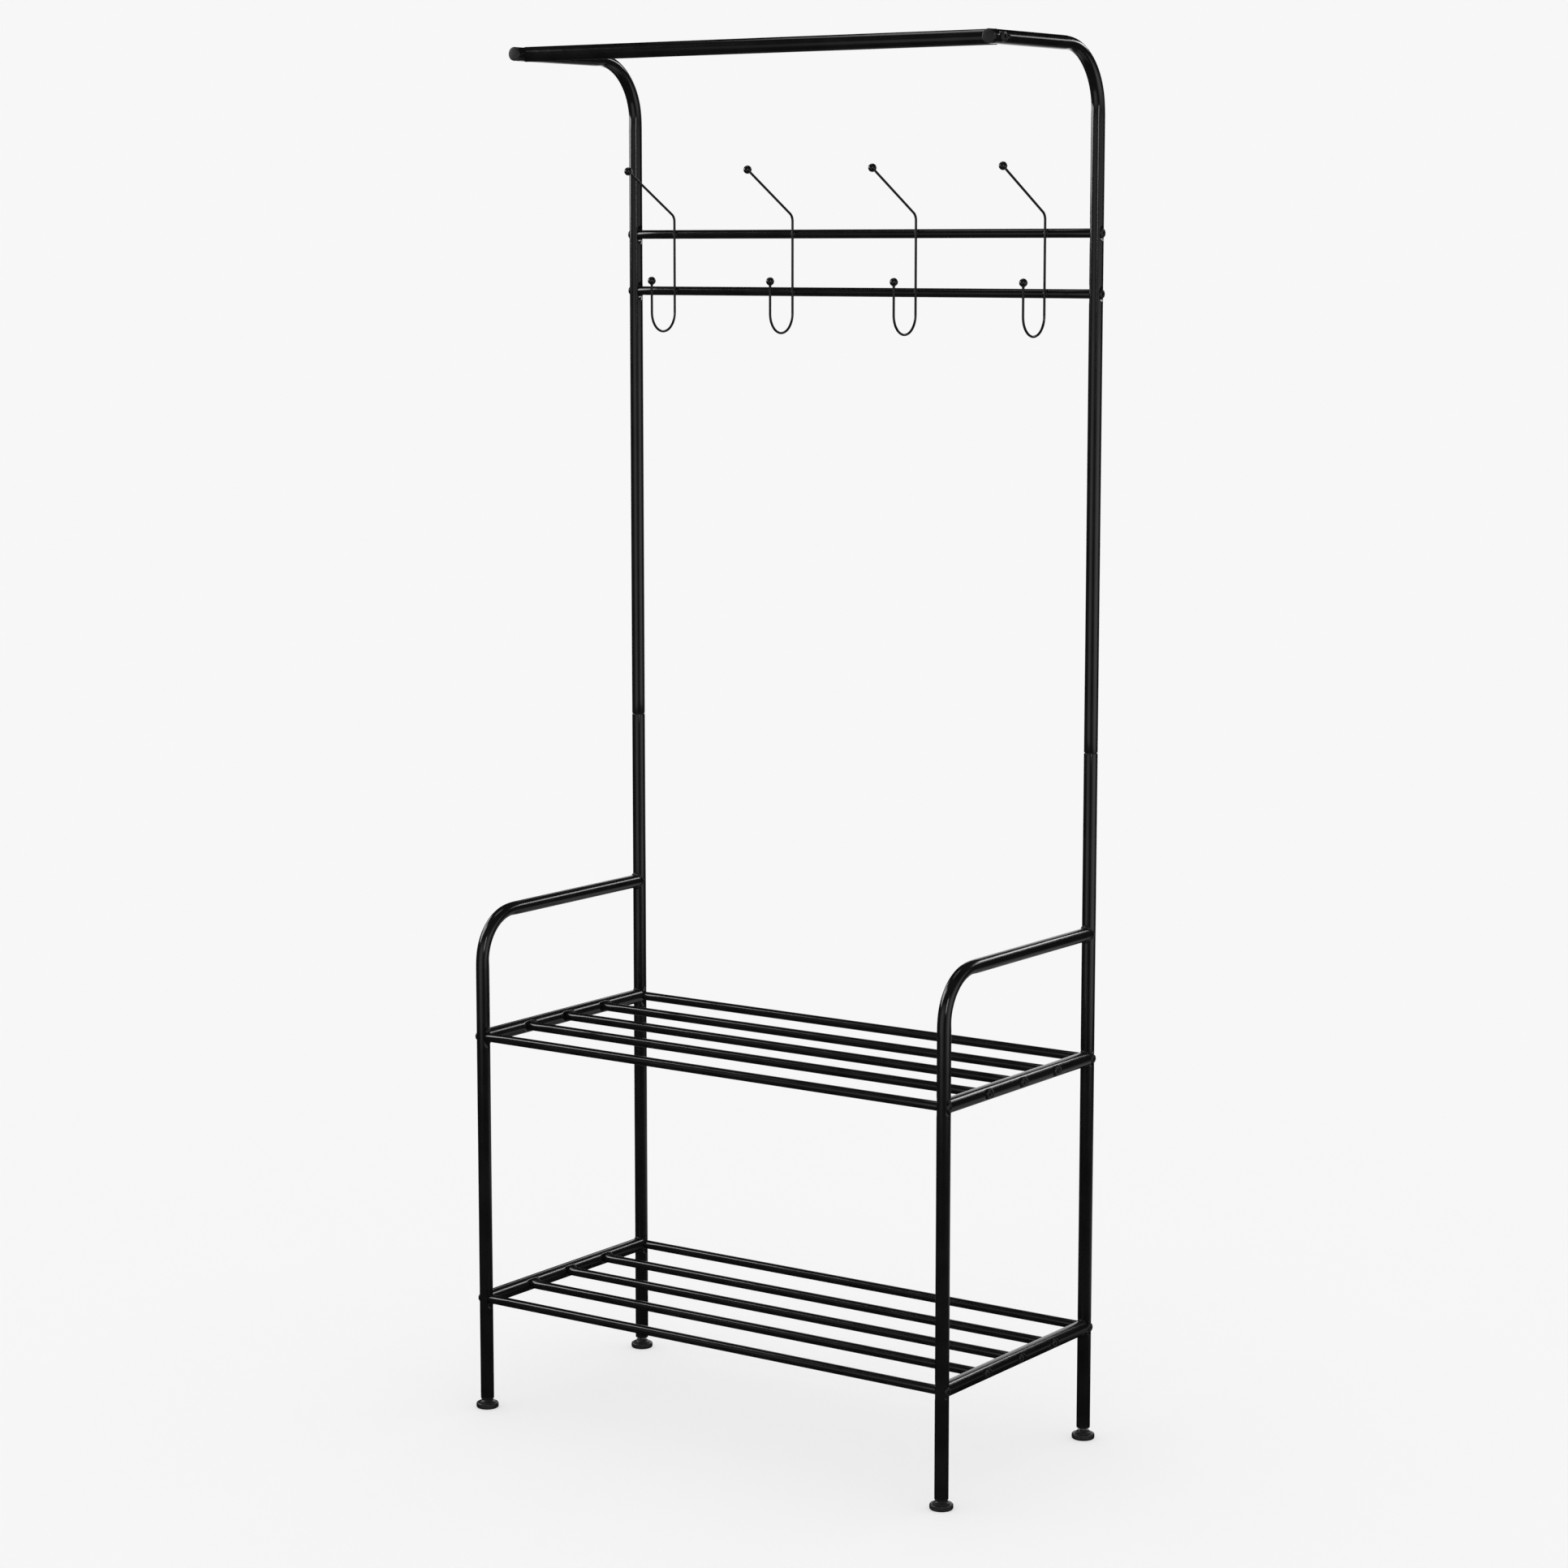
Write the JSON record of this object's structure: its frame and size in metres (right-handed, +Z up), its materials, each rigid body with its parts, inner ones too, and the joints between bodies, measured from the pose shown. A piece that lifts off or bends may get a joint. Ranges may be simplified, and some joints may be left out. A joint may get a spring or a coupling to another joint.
{
  "type": "hall tree with hooks",
  "caption": "Free-standing tubular steel hall tree with slatted bench seat, shoe shelf, armrests, double wire coat hooks and a front hanging rail.",
  "frame": {"origin": "on the floor, in the middle of the footprint", "axes": "+X to the right seen from the front, the front faces -Y, +Z up"},
  "size_m": [0.808, 0.4, 1.9308],
  "materials": {
    "black_powder_coat": "satin black powder coat on steel tube and wire",
    "black_zinc": "black zinc-plated steel bolts and post sleeves",
    "zinc_steel": "bright zinc-plated turned steel",
    "black_plastic": "moulded black plastic, fine satin texture"
  },
  "bodies": {
    "root": {"left_front_leg": "black_powder_coat", "right_front_leg": "black_powder_coat", "left_rear_post": "black_powder_coat", "right_rear_post": "black_powder_coat", "left_upper_post": "black_powder_coat", "right_upper_post": "black_powder_coat", "left_post_sleeve": "black_zinc", "right_post_sleeve": "black_zinc", "left_seat_rail": "black_powder_coat", "right_seat_rail": "black_powder_coat", "left_low_rail": "black_powder_coat", "right_low_rail": "black_powder_coat", "left_arm_cap": "black_plastic", "right_arm_cap": "black_plastic", "hanging_rail": "black_powder_coat", "upper_hook_rail": "black_powder_coat", "lower_hook_rail": "black_powder_coat", "hook_1": "black_powder_coat", "hook_2": "black_powder_coat", "hook_3": "black_powder_coat", "hook_4": "black_powder_coat", "hook_balls": "black_powder_coat", "seat_bar_1": "black_powder_coat", "seat_bar_2": "black_powder_coat", "seat_bar_3": "black_powder_coat", "seat_bar_4": "black_powder_coat", "seat_bar_5": "black_powder_coat", "low_bar_1": "black_powder_coat", "low_bar_2": "black_powder_coat", "low_bar_3": "black_powder_coat", "low_bar_4": "black_powder_coat", "low_bar_5": "black_powder_coat", "seat_bar_plugs": "zinc_steel", "low_bar_plugs": "zinc_steel", "hook_rail_plugs": "zinc_steel", "hanging_rail_plugs": "zinc_steel", "seat_bar_bolts": "black_zinc", "low_bar_bolts": "black_zinc", "hook_rail_bolts": "black_zinc", "hanging_rail_bolts": "black_zinc", "leg_inserts": "black_plastic"},
    "front_left_pad": {"front_left_foot_pad": "black_plastic"},
    "front_left_stud": {"front_left_foot_stud": "zinc_steel"},
    "front_right_pad": {"front_right_foot_pad": "black_plastic"},
    "front_right_stud": {"front_right_foot_stud": "zinc_steel"},
    "rear_left_pad": {"rear_left_foot_pad": "black_plastic"},
    "rear_left_stud": {"rear_left_foot_stud": "zinc_steel"},
    "rear_right_pad": {"rear_right_foot_pad": "black_plastic"},
    "rear_right_stud": {"rear_right_foot_stud": "zinc_steel"}
  },
  "joints": [
    {"name": "front_left_foot_lift", "type": "slide", "parent": "root", "child": "front_left_pad", "axis": [0, 0, -1], "range_m": [0, 0.012]},
    {"name": "front_left_stud_turn", "type": "hinge", "parent": "front_left_pad", "child": "front_left_stud", "pos_m": [-0.388, -0.184, 0], "axis": [0, 0, -1], "range_deg": [0, 3456]},
    {"name": "front_right_foot_lift", "type": "slide", "parent": "root", "child": "front_right_pad", "axis": [0, 0, -1], "range_m": [0, 0.012]},
    {"name": "front_right_stud_turn", "type": "hinge", "parent": "front_right_pad", "child": "front_right_stud", "pos_m": [0.388, -0.184, 0], "axis": [0, 0, -1], "range_deg": [0, 3456]},
    {"name": "rear_left_foot_lift", "type": "slide", "parent": "root", "child": "rear_left_pad", "axis": [0, 0, -1], "range_m": [-0.0025, 0.012]},
    {"name": "rear_left_stud_turn", "type": "hinge", "parent": "rear_left_pad", "child": "rear_left_stud", "pos_m": [-0.388, 0.184, 0], "axis": [0, 0, -1], "range_deg": [-720, 3456]},
    {"name": "rear_right_foot_lift", "type": "slide", "parent": "root", "child": "rear_right_pad", "axis": [0, 0, -1], "range_m": [-0.0025, 0.012]},
    {"name": "rear_right_stud_turn", "type": "hinge", "parent": "rear_right_pad", "child": "rear_right_stud", "pos_m": [0.388, 0.184, 0], "axis": [0, 0, -1], "range_deg": [-720, 3456]}
  ],
  "couplings": [
    {"joint": "front_left_stud_turn", "follows": "front_left_foot_lift", "rad_per_m": 5026.5},
    {"joint": "front_right_stud_turn", "follows": "front_right_foot_lift", "rad_per_m": 5026.5},
    {"joint": "rear_left_stud_turn", "follows": "rear_left_foot_lift", "rad_per_m": 5026.5},
    {"joint": "rear_right_stud_turn", "follows": "rear_right_foot_lift", "rad_per_m": 5026.5}
  ]
}
